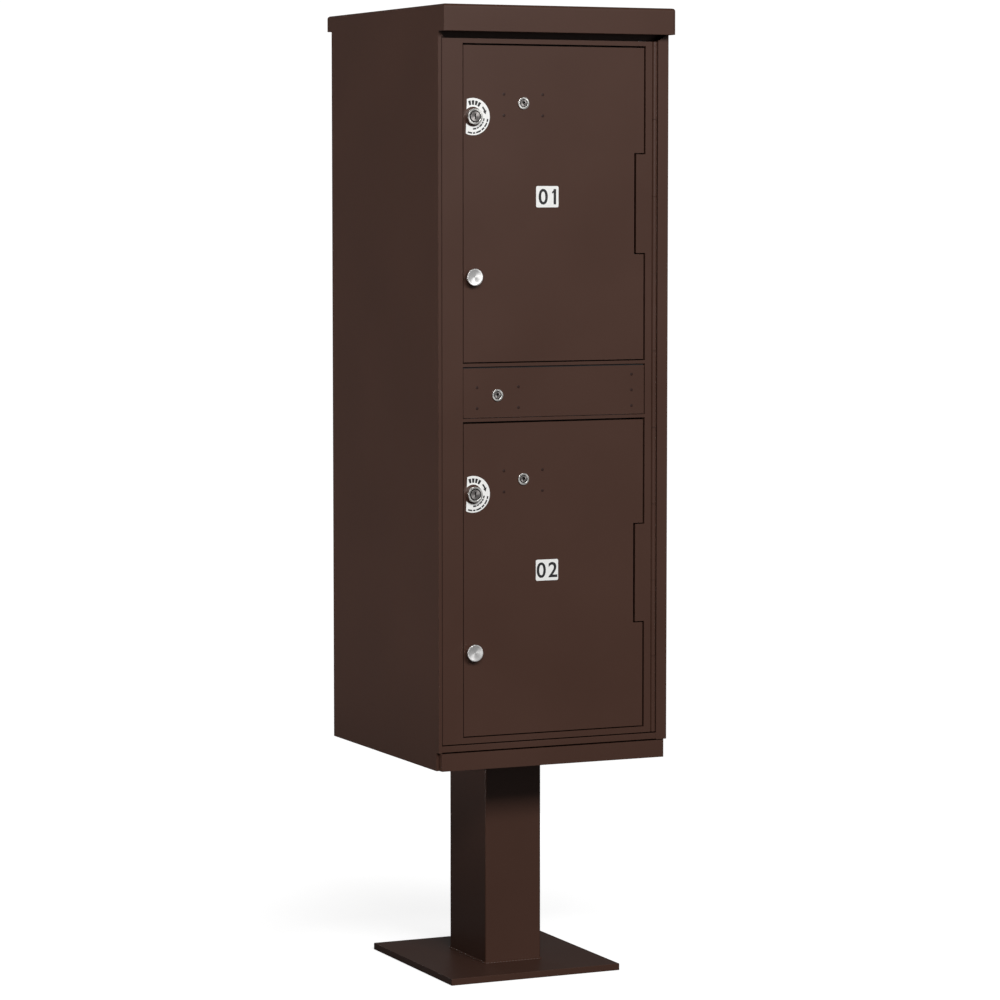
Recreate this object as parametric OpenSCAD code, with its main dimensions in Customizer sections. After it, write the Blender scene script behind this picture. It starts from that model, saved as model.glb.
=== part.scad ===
// Two-compartment parcel mailbox on a pedestal.
// A sheet-metal cabinet holds one loading door, and two parcel doors hang in that door.
// +Z is up, the doors face -Y, and the origin is the centre of the base plate's underside.

/* [Pedestal] */
// Width of the base plate, left to right
plate_w = 302; // [280:1:340]
// Depth of the base plate, front to back
plate_d = 327; // [300:1:360]
// Thickness of the base plate
plate_t = 11; // [8:0.5:16]
// Width of the post, left to right
post_w = 100; // [90:1:120]
// Depth of the post, front to back
post_d = 146; // [130:1:160]
// Wall of the post
post_wall = 4; // [3:0.5:6]
// Height of the cabinet's underside above the ground
cabinet_z = 361; // [250:1:600]

/* [Cabinet] */
// Depth of the cabinet's sides
cabinet_d = 444; // [400:1:500]
// How far the cabinet sits forward of the post's centre
forward = 8; // [0:1:15]
// Thickness of the side panels
side_t = 3; // [2.5:0.25:3.5]
// Thickness of the other cabinet sheets
sheet_t = 2.5; // [2:0.25:3]
// Height of the floor pan, which shows as a lip below the door
pan_h = 28; // [24:1:36]
// Height of the hood's top above the loading door
hood_rise = 52.5; // [50:0.5:70]
// Overhang of the hood in front
hood_front = 23; // [15:1:40]
// Overhang of the hood behind
hood_rear = 18; // [8:1:25]
// Height of the hood's front lip
hood_front_h = 42; // [30:1:45]
// Height of the hood's rear lip
hood_rear_h = 26; // [20:1:35]
// Radius of the hood's bends
hood_r = 5; // [4:0.5:8]
// Radius of the hood's upper corners, seen from the front
hood_end_r = 4; // [3:0.5:6]
// Width of the left jamb
jamb_left = 5.5; // [4:0.5:8]
// Width of the right jamb
jamb_right = 18.6; // [15:0.1:22]
// Width of the strip that the long hinge fills
hinge_zone = 10.8; // [10.6:0.1:12]

/* [Doors] */
// Width of a parcel door
door_w = 316.8; // [290:1:340]
// Height of a parcel door
door_h = 498; // [450:1:540]
// Thickness of the door sheets
door_t = 3; // [2.5:0.25:3.5]
// Depth of a parcel door with its turned edges
door_depth = 12; // [11:0.5:13]
// Gap above and right of a parcel door
door_gap = 3; // [2.5:0.25:4]
// Gap left of a parcel door
door_gap_left = 1.2; // [1:0.1:3]
// Gap below a parcel door
door_gap_below = 2; // [1.5:0.25:3]
// Width of the loading door's left stile
stile_left = 35.5; // [33:0.5:40]
// Width of the loading door's right stile
stile_right = 11.6; // [11.5:0.1:14]
// Height of the loading door's bottom rail
rail_bottom = 9.5; // [8:0.5:14]
// Height of the loading door's top rail
rail_top = 7.3; // [7:0.1:12]
// Height of the rails above and below the middle panel
rail_mid = 5.2; // [5:0.1:8]
// Height of the opening for the middle panel
middle_h = 81.8; // [80:0.2:95]
// Height of the hinge tab that a parcel door is notched round
tab_h = 158; // [140:1:200]

/* [Locks and fittings] */
// Radius of a parcel lock's bezel
parcel_bezel_r = 12.5; // [11:0.5:14]
// How far a parcel lock stands out of its door
parcel_bezel_h = 10; // [6:0.5:12]
// Radius of a small lock's bezel
small_bezel_r = 9.5; // [9:0.25:11]
// Radius of a pull knob
knob_r = 13.3; // [12:0.1:16]
// How far a pull knob stands out of its door
knob_h = 14; // [12:0.5:26]
// Travel of the loading door's bolt
bolt_travel = 11.3; // [10.5:0.1:11.5]

/* [Hidden] */
$fn = 64;

// Colours
bronze = [0.30, 0.21, 0.18];
bare = [0.72, 0.73, 0.74];
steel = [0.55, 0.55, 0.56];
bright = [0.82, 0.82, 0.80];
rubber = [0.08, 0.08, 0.08];
white = [0.93, 0.93, 0.91];

// Widths across the front, from the left edge of the cabinet
door_side_gap = 1;
cabinet_w = jamb_left + door_side_gap + stile_left + door_gap_left + door_w + door_gap
    + stile_right + hinge_zone + jamb_right;
left_x = -cabinet_w / 2;
right_x = cabinet_w / 2;
frame_x0 = left_x + jamb_left + door_side_gap;
window_x0 = frame_x0 + stile_left;
window_x1 = window_x0 + door_gap_left + door_w + door_gap;
frame_x1 = window_x1 + stile_right;
jamb_x = frame_x1 + hinge_zone;
door_x0 = window_x0 + door_gap_left;
door_x1 = window_x1 - door_gap;

// Depths: s values count back from the front plane
front_y = -cabinet_d / 2 - forward;
back_y = cabinet_d / 2 - forward;
back_in = back_y - side_t - sheet_t;
return_s = 16.5;
stop_s = return_s + 0.5;
stop_lip_h = 10.5;
lip_step = 10.5;

// Inner walls and shelves
side_in = right_x - side_t;
wall_x = 162;
wall_t = 2;
inner_s = 30;
inner_d = back_in - front_y;

// Heights
pan_z = cabinet_z + pan_h;
jamb_bottom_z = pan_z + 2.5;
jamb_bottom_h = 10;
frame_gap = 2;
frame_z0 = jamb_bottom_z + jamb_bottom_h + frame_gap;
window_h = door_gap_below + door_h + door_gap;
window_2 = frame_z0 + rail_bottom;
middle_z0 = window_2 + window_h + rail_mid;
middle_z1 = middle_z0 + middle_h;
window_1 = middle_z1 + rail_mid;
frame_z1 = window_1 + window_h + rail_top;
jamb_top_z = frame_z1 + frame_gap;
total_h = frame_z1 + hood_rise;
under_hood = total_h - sheet_t;
hood_lip_z = total_h - hood_front_h;
window_z = [window_1, window_2];

// Loading door's hinge
hinge_x = frame_x1 + hinge_zone / 2;
jamb_lip_x1 = hinge_x - 22;
hinge_s = 3;
knuckle_r = 4.6;
knuckles = 9;
knuckle_l = (frame_z1 - frame_z0) / knuckles;
pin_r = 2.5;
leaf_t = 2;
leaf_s = 25;
web_t = 2.3;
run_gap = 0.05;

// Parcel door's hinge
tab_x = window_x1 - 16.5;
door_hinge_x = window_x1 - 10;
door_hinge_s = 6.5;
door_pin_r = 2;
notch_x = tab_x - 3.5;
notch_gap = 2;
ear_t = 3;
edge_t = 2.5;
lip_w = 8;
lip_t = 2;
lip_end_x = notch_x - 3;

// Places on a parcel door, from the cabinet's centre line and the door's top edge
parcel_lock_x = -142.6;
parcel_lock_drop = 111.8;
control_x = -55.2;
control_drop = 90.2;
bracket_x = -55;
bracket_drop = 93;
bracket_span = [67.5, 33.5];
label_x = -13.2;
label_drop = 237.3;
label_size = [39.4, 33.8];
knob_x = -144.5;
knob_drop = 363.6;

// Lock parts
parcel_barrel_r = 8;
parcel_plug_r = 6;
parcel_head_r = 8;
parcel_cup = [9.4, 2.5];
parcel_barrel_s = 17;
small_barrel_r = 7;
small_plug_r = 4.5;
small_head_r = 5.2;
small_cup = [6.2, 1.6];
small_barrel_s = 14;
stud_r = 2;
knob_stud_r = 3;

// Middle panel's lock and bolt
middle_plate_s = 5;
master_x = -100.5;
master_z = middle_z0 + 36.2;
guide_x = -99.5;
guide_z = middle_z0 + 32.3;
guide_span = [72, 33];
crank_r = bolt_travel / sqrt(2);
crank = crank_r / sqrt(2);
crank_pin_r = 3;
bolt_s = [19.5, 23.5];
bolt_z = [master_z - 16, master_z + 2];
bolt_x = [-178, -44];
middle_stud_x = [window_x0 - 7, window_x1 + 5];
middle_stud_z = [middle_z0 + 14, middle_z1 - 14];

// Joint between the cabinet and the post
post_r = 3;
post_in_r = 1;
top_plate_t = 6;
top_plate_half = [80, 102];
bolt_half = [66, 86];
bolt_r = 5;
bolt_flats = 17;
anchor_half = [28, 50];
anchor_r = 7;

// Rivets behind
rivet_r = 3.5;
rivet_h = 1.4;
rivets = 9;

// --- Shapes that repeat ---

// A block between two limits on each axis
module slab(x, y, z) {
    translate([x[0], y[0], z[0]])
        cube([x[1] - x[0], y[1] - y[0], z[1] - z[0]]);
}

// A block whose depth limits count back from the front plane
module panel(x, s, z) {
    slab(x, [front_y + s[0], front_y + s[1]], z);
}

// A round bar along the depth, between two depths
module rod(x, z, r, s) {
    translate([x, front_y + s[1], z])
        rotate([90, 0, 0])
            cylinder(r = r, h = s[1] - s[0]);
}

// A hexagonal bar along the depth, given across its flats
module hex_rod(x, z, flats, s) {
    translate([x, front_y + s[1], z])
        rotate([90, 0, 0])
            cylinder(d = flats / cos(30), h = s[1] - s[0], $fn = 6);
}

module hex_nut(x, z, flats, bore_r, s) {
    difference() {
        hex_rod(x, z, flats, s);
        rod(x, z, bore_r, [s[0] - 1, s[1] + 1]);
    }
}

module rounded_rect(w, d, r) {
    square([w - 2 * r, d], center = true);
    square([w, d - 2 * r], center = true);
    for (x = [-1, 1], y = [-1, 1])
        translate([x * (w / 2 - r), y * (d / 2 - r)])
            circle(r = r);
}

// The corners of a pattern of four, as [x, z] pairs
function corners(x, z, span) =
    [for (i = [-1, 1], j = [-1, 1]) [x + i * span[0] / 2, z + j * span[1] / 2]];

function door_z0(i) = window_z[i] + door_gap_below;
function door_z1(i) = door_z0(i) + door_h;
function tab_z0(i) = window_z[i] + window_h / 2 - tab_h / 2;

// --- Pedestal ---

module base_plate() {
    color(bronze)
        difference() {
            slab([-plate_w / 2, plate_w / 2], [-plate_d / 2, plate_d / 2], [0, plate_t]);
            for (x = [-1, 1], y = [-1, 1])
                translate([x * anchor_half[0], y * anchor_half[1], -1])
                    cylinder(r = anchor_r, h = plate_t + 2);
        }
}

module post() {
    color(bronze)
        translate([0, 0, plate_t])
            linear_extrude(pan_z - sheet_t - top_plate_t - plate_t)
                difference() {
                    rounded_rect(post_w, post_d, post_r);
                    rounded_rect(post_w - 2 * post_wall, post_d - 2 * post_wall, post_in_r);
                }
}

module bolt_holes(r) {
    for (x = [-1, 1], y = [-1, 1])
        translate([x * bolt_half[0], y * bolt_half[1], cabinet_z])
            cylinder(r = r, h = pan_h + 1);
}

module post_top_plate() {
    plate_top = pan_z - sheet_t;
    half = top_plate_half;
    color(bronze)
        difference() {
            slab([-half[0], half[0]], [-half[1], half[1]], [plate_top - top_plate_t, plate_top]);
            bolt_holes(bolt_r + 0.5);
        }
}

// Four bolts from inside the cabinet, each with a washer, and a nut below the post's plate
module cabinet_bolts() {
    washer_t = 2;
    head_h = 6.4;
    nut_h = 8;
    past_nut = 4;
    nut_z = pan_z - sheet_t - top_plate_t - nut_h;
    color(steel)
        for (x = [-1, 1], y = [-1, 1])
            translate([x * bolt_half[0], y * bolt_half[1], 0]) {
                translate([0, 0, pan_z])
                    cylinder(r = bolt_r + 6, h = washer_t);
                translate([0, 0, pan_z + washer_t])
                    cylinder(d = bolt_flats / cos(30), h = head_h, $fn = 6);
                translate([0, 0, nut_z - past_nut])
                    cylinder(r = bolt_r, h = pan_z + washer_t - nut_z + past_nut);
                translate([0, 0, nut_z])
                    difference() {
                        cylinder(d = bolt_flats / cos(30), h = nut_h, $fn = 6);
                        translate([0, 0, -1])
                            cylinder(r = bolt_r + run_gap, h = nut_h + 2);
                    }
            }
}

// --- Cabinet ---

// Side panel's outline in depth and height, with an ear under each end of the hood
module side_outline() {
    straight = total_h - hood_r;
    hood_y0 = front_y - hood_front;
    hood_y1 = back_y + hood_rear;
    pan_notch = [10, pan_h + 1.5];
    difference() {
        union() {
            translate([front_y, cabinet_z])
                square([cabinet_d, straight - cabinet_z]);
            translate([hood_y0, total_h - hood_front_h])
                square([hood_front + 1, hood_front_h - hood_r]);
            translate([back_y - 1, total_h - hood_rear_h])
                square([hood_rear + 1, hood_rear_h - hood_r]);
            translate([hood_y0 + hood_r, straight - 1])
                square([hood_y1 - hood_y0 - 2 * hood_r, hood_r + 1]);
            for (y = [hood_y0 + hood_r, hood_y1 - hood_r])
                translate([y, straight])
                    circle(r = hood_r);
        }
        translate([front_y - 1, cabinet_z - 1])
            square([pan_notch[0] + 1, pan_notch[1] + 1]);
    }
}

module side_sheet(x) {
    difference() {
        translate([x, 0, 0])
            rotate([90, 0, 90])
                linear_extrude(side_t)
                    side_outline();
        hood_corners();
    }
}

// What is cut away to round the two upper corners of the hood
module hood_corners() {
    far = back_y + hood_rear + 1;
    for (side = [-1, 1])
        translate([side * (right_x - hood_end_r), far, total_h - hood_end_r])
            rotate([90, 0, 0])
                linear_extrude(cabinet_d + hood_front + hood_rear + 2)
                    difference() {
                        translate([side > 0 ? 0 : -hood_end_r - 1, 0])
                            square(hood_end_r + 1);
                        circle(r = hood_end_r);
                    }
}

// A jamb's turned front edge, from x to in_x; past the door its top slants out to the hood
module jamb_flange(x, in_x, corner_x, end_x) {
    translate([0, front_y + side_t, 0])
        rotate([90, 0, 0])
            linear_extrude(side_t)
                polygon([
                    [x, pan_z + 1.5], [in_x, pan_z + 1.5], [in_x, jamb_top_z],
                    [corner_x, jamb_top_z], [end_x, hood_lip_z], [end_x, under_hood],
                    [x, under_hood]
                ]);
}

module side_panel_left() {
    color(bronze) {
        side_sheet(left_x);
        jamb_flange(left_x, left_x + jamb_left, left_x + jamb_left + 4, left_x + side_t + 1);
        slab([left_x, left_x + 15], [back_y - side_t, back_y], [cabinet_z, under_hood]);
    }
}

module side_panel_right() {
    color(bronze) {
        side_sheet(right_x - side_t);
        jamb_flange(right_x, jamb_x, jamb_x + 1, right_x - side_t - 1);
        panel([jamb_x, jamb_x + side_t], [0, 28], [pan_z + 1.5, jamb_top_z]);
        slab([right_x - 15, right_x], [back_y - side_t, back_y], [cabinet_z, under_hood]);
    }
}

module back_panel() {
    color(bronze)
        slab([-side_in, side_in], [back_in, back_y - side_t], [cabinet_z, under_hood]);
}

// Hood's outline in depth and height; with an inset it runs on below both lips
module hood_outline(inset) {
    y0 = front_y - hood_front + inset;
    y1 = back_y + hood_rear - inset;
    middle = (y0 + y1) / 2;
    r = hood_r - inset;
    below = inset > 0 ? 1 : 0;
    straight = total_h - hood_r;
    front_z = total_h - hood_front_h - below;
    rear_z = total_h - hood_rear_h - below;
    translate([y0, front_z])
        square([middle - y0, straight - front_z]);
    translate([middle - 1, rear_z])
        square([y1 - middle + 1, straight - rear_z]);
    translate([y0 + r, straight - 1])
        square([y1 - y0 - 2 * r, r + 1]);
    for (y = [y0 + r, y1 - r])
        translate([y, straight])
            circle(r = r);
}

// One bent sheet between the side panels, with a hem turned in along each lip
module hood() {
    lip_y = [front_y - hood_front, back_y + hood_rear];
    hem_z = [total_h - hood_front_h, total_h - hood_rear_h];
    hem_w = 11;
    x = [-side_in, side_in];
    color(bronze) {
        difference() {
            translate([-side_in, 0, 0])
                rotate([90, 0, 90])
                    linear_extrude(2 * side_in)
                        difference() {
                            hood_outline(0);
                            hood_outline(sheet_t);
                        }
            hood_corners();
        }
        slab(x, [lip_y[0] + 1, lip_y[0] + hem_w], [hem_z[0], hem_z[0] + sheet_t]);
        slab(x, [lip_y[1] - hem_w, lip_y[1] - 1], [hem_z[1], hem_z[1] + sheet_t]);
    }
}

// Floor pan's plan: the front lip is a little narrower than the rest
module pan_outline(inset) {
    lip_half = side_in - 2 - inset;
    translate([-side_in + inset, front_y + lip_step + inset])
        square([2 * (side_in - inset), back_in - front_y - lip_step - 2 * inset]);
    translate([-lip_half, front_y + inset])
        square([2 * lip_half, 2 * lip_step]);
}

module floor_pan() {
    color(bronze)
        difference() {
            translate([0, 0, cabinet_z])
                linear_extrude(pan_h)
                    pan_outline(0);
            translate([0, 0, cabinet_z - 1])
                linear_extrude(pan_h + 1 - sheet_t)
                    pan_outline(sheet_t);
            bolt_holes(bolt_r + 0.5);
        }
}

// A plate set back under the hood, which leaves a dark recess over the door and stops the door
module top_jamb() {
    s = [stop_s, stop_s + sheet_t];
    color(bronze) {
        panel([-side_in, side_in], s, [jamb_top_z, under_hood]);
        panel([-side_in, jamb_lip_x1], s, [frame_z1 - stop_lip_h, jamb_top_z + 1]);
    }
}

module bottom_jamb() {
    x = [left_x + jamb_left, jamb_x];
    top = jamb_bottom_z + jamb_bottom_h;
    color(bronze) {
        panel(x, [0, sheet_t], [jamb_bottom_z, top]);
        panel(x, [0, stop_s + sheet_t], [top - sheet_t, top]);
        panel([x[0], jamb_lip_x1], [stop_s, stop_s + sheet_t], [top - sheet_t, top + stop_lip_h]);
    }
}

// The angle behind the left jamb, which the bolt catches
module strike_angle() {
    z = [guide_z - 45, guide_z + 45];
    color(steel) {
        panel([-side_in, -side_in + 2], [stop_s, stop_s + 30], z);
        panel([-side_in, -side_in + 18], [stop_s, stop_s + 2], z);
    }
}

module inner_wall(side) {
    outer = wall_x + wall_t;
    flange = outer + 12;
    z = [pan_z, under_hood - 20];
    module half() {
        panel([wall_x, outer], [inner_s, inner_d], z);
        panel([wall_x, flange], [inner_s, inner_s + wall_t], z);
        panel([wall_x, flange], [inner_d - wall_t, inner_d], z);
    }
    color(bare)
        if (side > 0) half();
        else mirror([1, 0, 0]) half();
}

module inner_wall_left() {
    inner_wall(-1);
}

module inner_wall_right() {
    inner_wall(1);
}

// A shelf between the inner walls; its edges turn up (1) or down (-1)
module shelf(z, turn, edge_h) {
    edge = turn > 0 ? [z, z + edge_h] : [z + wall_t - edge_h, z + wall_t];
    color(bare) {
        panel([-wall_x, wall_x], [inner_s, inner_d], [z, z + wall_t]);
        panel([-wall_x, wall_x], [inner_s, inner_s + wall_t], edge);
        for (x = [-wall_x, wall_x - wall_t])
            panel([x, x + wall_t], [inner_s, inner_d], edge);
    }
}

module ceiling_panel() {
    shelf(frame_z1 - 1.5, 1, 16);
}

module upper_shelf() {
    shelf(middle_z1, -1, 18);
}

module lower_ceiling() {
    shelf(middle_z0 - 4, 1, 18);
}

// Dome rivets that hold the back panel to the side panels' turned edges
module shell_rivets() {
    end = 25;
    pitch = (under_hood - cabinet_z - 2 * end) / (rivets - 1);
    color(bronze)
        for (x = [left_x + 8, right_x - 8], i = [0 : rivets - 1])
            translate([x, back_y, cabinet_z + end + i * pitch])
                rotate([-90, 0, 0])
                    rivet_head();
}

module rivet_head() {
    ball_r = (rivet_r * rivet_r + rivet_h * rivet_h) / (2 * rivet_h);
    intersection() {
        translate([0, 0, rivet_h - ball_r])
            sphere(r = ball_r);
        cylinder(r = rivet_r + 1, h = rivet_h + 1);
    }
}

// --- Long hinge of the loading door ---

// The fixed leaf, on the jamb; the first of its knuckles is number first, counted from below
module hinge_leaf(first, bore_r) {
    x1 = hinge_x + hinge_zone / 2;
    color(bronze) {
        panel([x1 - leaf_t, x1], [hinge_s + knuckle_r + 1, leaf_s], [frame_z0, frame_z1]);
        for (k = [first : 2 : knuckles - 1])
            knuckle(frame_z0 + k * knuckle_l + 0.25, knuckle_l - 0.5, x1, bore_r);
    }
}

// One knuckle, with the web that joins it to its leaf
module knuckle(z0, h, x1, bore_r) {
    panel([x1 - leaf_t, x1], [hinge_s + 2, leaf_s - 1], [z0, z0 + h]);
    difference() {
        union() {
            translate([hinge_x, front_y + hinge_s, z0])
                cylinder(r = knuckle_r, h = h);
            panel([x1 - web_t, x1], [hinge_s, hinge_s + 3], [z0, z0 + h]);
        }
        translate([hinge_x, front_y + hinge_s, z0 - 1])
            cylinder(r = bore_r, h = h + 2);
    }
}

module hinge_leaf_fixed() {
    hinge_leaf(0, pin_r);
}

// The door's leaf is the jamb's leaf mirrored across the pin
module hinge_leaf_door() {
    translate([2 * hinge_x, 0, 0])
        mirror([1, 0, 0])
            hinge_leaf(1, pin_r + run_gap);
}

module hinge_pin() {
    color(steel)
        translate([hinge_x, front_y + hinge_s, frame_z0])
            cylinder(r = pin_r, h = frame_z1 - frame_z0);
}

// --- Loading door ---

module door_frame() {
    z = [frame_z0, frame_z1];
    x = [frame_x0, frame_x1];
    window_x = [window_x0, window_x1];
    color(bronze) {
        difference() {
            panel(x, [0, door_t], z);
            for (i = [0, 1])
                panel(window_x, [-1, door_t + 1], [window_z[i], window_z[i] + window_h]);
            panel(window_x, [-1, door_t + 1], [middle_z0, middle_z1]);
        }
        difference() {
            panel(x, [door_t - 1, return_s], z);
            panel([x[0] + edge_t, x[1] - edge_t], [0, return_s + 1], [z[0] + edge_t, z[1] - edge_t]);
        }
        for (i = [0, 1])
            panel([tab_x, window_x1 + 1], [0, door_t], [tab_z0(i), tab_z0(i) + tab_h]);
        for (sx = middle_stud_x, sz = middle_stud_z)
            rod(sx, sz, stud_r, [door_t - 1, 12]);
    }
}

// The turned edge round a window, with a lip on three sides for the parcel door to close on
module stop_frame(i) {
    z = [window_z[i], window_z[i] + window_h];
    x = [window_x0, window_x1];
    color(bronze) {
        difference() {
            panel([x[0] - lip_t, x[1] + lip_t], [door_t, return_s], [z[0] - lip_t, z[1] + lip_t]);
            panel(x, [0, return_s + 1], z);
        }
        stop_lip(i, [return_s - lip_t, return_s], lip_t);
    }
}

// A C-shaped strip inside a window's left, top and bottom edges
module stop_lip(i, s, into) {
    z = [window_z[i], window_z[i] + window_h];
    x0 = window_x0;
    panel([x0 - into, x0 + lip_w], s, [z[0] - into, z[1] + into]);
    panel([x0, lip_end_x], s, [z[0] - into, z[0] + lip_w]);
    panel([x0, lip_end_x], s, [z[1] - lip_w, z[1] + into]);
}

// Foam round the parcel openings, and a strip that seals the gap above the middle panel
module weather_strips() {
    color(rubber) {
        for (i = [0, 1])
            stop_lip(i, [door_depth + 0.3, return_s - lip_t], -0.2);
        panel([window_x0 + 1, window_x1 - 2], [door_t, door_t + 3], [middle_z1 - 2.5, middle_z1 + 3]);
    }
}

// Blocks behind the hinge tabs, each with the bore that a parcel door's pin turns in
module tab_barrels() {
    color(steel)
        for (i = [0, 1])
            difference() {
                panel([door_hinge_x - 4.5, door_hinge_x + 4.5], [door_t, door_hinge_s + 3.5],
                    [tab_z0(i), tab_z0(i) + tab_h]);
                translate([door_hinge_x, front_y + door_hinge_s, tab_z0(i) - 1])
                    cylinder(r = door_pin_r + run_gap, h = tab_h + 2);
            }
}

// A raised panel that fills the opening, on a plate that is bolted behind the stiles
module middle_panel() {
    z = [middle_z0 + 1, middle_z1 - 2.5];
    color(bronze)
        difference() {
            union() {
                panel([window_x0 + 0.8, window_x1 - 2], [0, door_t + 1], z);
                panel([window_x0 - 15, window_x1 + 8], [door_t, middle_plate_s], z);
                for (c = corners(guide_x, guide_z, guide_span))
                    rod(c[0], c[1], stud_r, [middle_plate_s - 1, 12]);
            }
            rod(master_x, master_z, small_barrel_r + run_gap, [-1, middle_plate_s + 1]);
            for (sx = middle_stud_x, sz = middle_stud_z)
                rod(sx, sz, stud_r + 0.2, [door_t - 1, middle_plate_s + 1]);
        }
}

module middle_nuts() {
    guide_s = middle_plate_s + 2;
    color(steel) {
        for (sx = middle_stud_x, sz = middle_stud_z)
            hex_nut(sx, sz, 7, stud_r + run_gap, [middle_plate_s, middle_plate_s + 3]);
        for (c = corners(guide_x, guide_z, guide_span))
            hex_nut(c[0], c[1], 7, stud_r + run_gap, [guide_s, guide_s + 3]);
        hex_nut(master_x, master_z, 18, small_barrel_r + run_gap, [guide_s, guide_s + 3]);
    }
}

// The plate behind the middle panel, with two loops that the bolt slides through
module bolt_guide() {
    plate_x = [-153, -46];
    s = [middle_plate_s, middle_plate_s + 2];
    clear = 0.5;
    leg = 2.5;
    z0 = bolt_z[0] - clear;
    z1 = bolt_z[1] + clear;
    color(bare) {
        difference() {
            panel(plate_x, s, [guide_z - 26, guide_z + 26]);
            for (c = corners(guide_x, guide_z, guide_span))
                rod(c[0], c[1], stud_r + 0.2, [s[0] - 1, s[1] + 1]);
            rod(master_x, master_z, small_barrel_r + 0.2, [s[0] - 1, s[1] + 1]);
        }
        for (x = [plate_x[0] + 1, plate_x[1] - 11])
            difference() {
                panel([x, x + 10], [s[0] + 1, bolt_s[1] + clear + leg], [z0 - leg, z1 + leg]);
                panel([x - 1, x + 11], [s[1], bolt_s[1] + clear], [z0, z1]);
            }
    }
}

// The lock's crank pin works in an upright slot, so the bolt moves with the key
module master_bolt() {
    slot_x = master_x + crank;
    slot_half = crank_pin_r + 0.45;
    slot_z = [master_z - crank_r - slot_half, master_z - crank + slot_half];
    color(bare)
        difference() {
            panel(bolt_x, bolt_s, bolt_z);
            panel([slot_x - slot_half, slot_x + slot_half], [bolt_s[0] - 1, bolt_s[1] + 1], slot_z);
        }
}

module master_lock_body() {
    small_lock_body(master_x, master_z);
}

module master_lock_plug() {
    small_lock_plug(master_x, master_z, 15.5);
}

module master_lock_cam() {
    color(steel) {
        rod(master_x, master_z, 11.5, [15.5, 18.7]);
        rod(master_x + crank, master_z - crank, crank_pin_r, [18, bolt_s[1]]);
    }
}

// --- Locks ---

module small_lock_body(x, z) {
    color(bright)
        difference() {
            union() {
                rod(x, z, small_bezel_r, [-2.5, 0]);
                rod(x, z, small_barrel_r, [-1, small_barrel_s]);
            }
            rod(x, z, small_cup[0], [-3.5, -2.5 + small_cup[1]]);
            rod(x, z, small_plug_r + run_gap, [-2.5, small_barrel_s + 1]);
        }
}

module keyway(x, z, h, front) {
    panel([x - 0.8, x + 0.8], [front - 1, front + 3], [z - h / 2, z + h / 2]);
}

// The keyway of a small lock has a round mouth, a little above the centre
module small_lock_plug(x, z, end) {
    front = -2.7;
    color(bright)
        difference() {
            union() {
                rod(x, z, small_head_r, [front, -2.5 + small_cup[1] - run_gap]);
                rod(x, z, small_plug_r, [-2, end]);
            }
            keyway(x, z, 7, front);
            rod(x, z + 1, 2.3, [front - 1, front + 3]);
        }
}

// A cam that points down when its door is free
module cam(x, z, hub_r, arm, arm_w, s, bore_r) {
    color(steel)
        difference() {
            union() {
                rod(x, z, hub_r, s);
                panel([x - arm_w / 2, x + arm_w / 2], s, [z - arm, z]);
            }
            rod(x, z, bore_r, [s[0] - 1, s[1] + 1]);
        }
}

// --- Parcel doors: i is 0 for the upper door and 1 for the lower ---

module door_panel(i) {
    x = [door_x0, door_x1];
    z = [door_z0(i), door_z1(i)];
    tab = [tab_z0(i), tab_z0(i) + tab_h];
    notch = [tab[0] - notch_gap, tab[1] + notch_gap];
    bracket = corners(bracket_x, z[1] - bracket_drop, bracket_span);
    color(bronze)
        difference() {
            union() {
                difference() {
                    panel(x, [0, door_depth], z);
                    panel([x[0] + edge_t, x[1] - edge_t], [door_t, door_depth + 1],
                        [z[0] + edge_t, z[1] - edge_t]);
                }
                panel([notch_x - edge_t, x[1]], [door_t - 1, door_depth],
                    [notch[0] - ear_t, notch[1] + ear_t]);
                for (c = bracket)
                    rod(c[0], c[1], stud_r, [door_t - 1, 11]);
            }
            panel([notch_x, x[1] + 1], [-1, door_depth + 1], notch);
            translate([door_hinge_x, front_y + door_hinge_s, notch[0] - ear_t - 1])
                cylinder(r = door_pin_r, h = notch[1] - notch[0] + 2 * ear_t + 2);
            rod(parcel_lock_x, z[1] - parcel_lock_drop, parcel_barrel_r + run_gap, [-1, door_t + 1]);
            rod(control_x, z[1] - control_drop, small_barrel_r + run_gap, [-1, door_t + 1]);
            rod(knob_x, z[1] - knob_drop, knob_stud_r + run_gap, [-1, door_t + 1]);
        }
}

module door_pin(i) {
    reach = notch_gap + ear_t + 2;
    color(steel)
        translate([door_hinge_x, front_y + door_hinge_s, tab_z0(i) - reach])
            cylinder(r = door_pin_r, h = tab_h + 2 * reach);
}

// A turned knob: a foot, a narrow neck and a round head with a shallow dish
module pull_knob(i) {
    neck_h = 8;
    head = knob_h - neck_h;
    dish_r = knob_r * 5;
    dish_deep = 1.2;
    stud_l = 10;
    color(bright)
        translate([knob_x, front_y, door_z1(i) - knob_drop])
            rotate([90, 0, 0]) {
                difference() {
                    union() {
                        cylinder(r = knob_r * 0.62, h = 2.5);
                        cylinder(r = knob_r * 0.45, h = knob_h - 3);
                        translate([0, 0, neck_h])
                            cylinder(r1 = knob_r * 0.7, r2 = knob_r, h = head / 2);
                        translate([0, 0, neck_h + head / 2])
                            cylinder(r = knob_r, h = head / 2);
                    }
                    translate([0, 0, knob_h + dish_r - dish_deep])
                        sphere(r = dish_r);
                }
                translate([0, 0, -stud_l])
                    cylinder(r = knob_stud_r, h = stud_l + 1);
            }
}

module label(i) {
    color(white)
        translate([label_x, front_y, door_z1(i) - label_drop])
            rotate([90, 0, 0])
                linear_extrude(0.5)
                    rounded_rect(label_size[0], label_size[1], 2.5);
}

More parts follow.
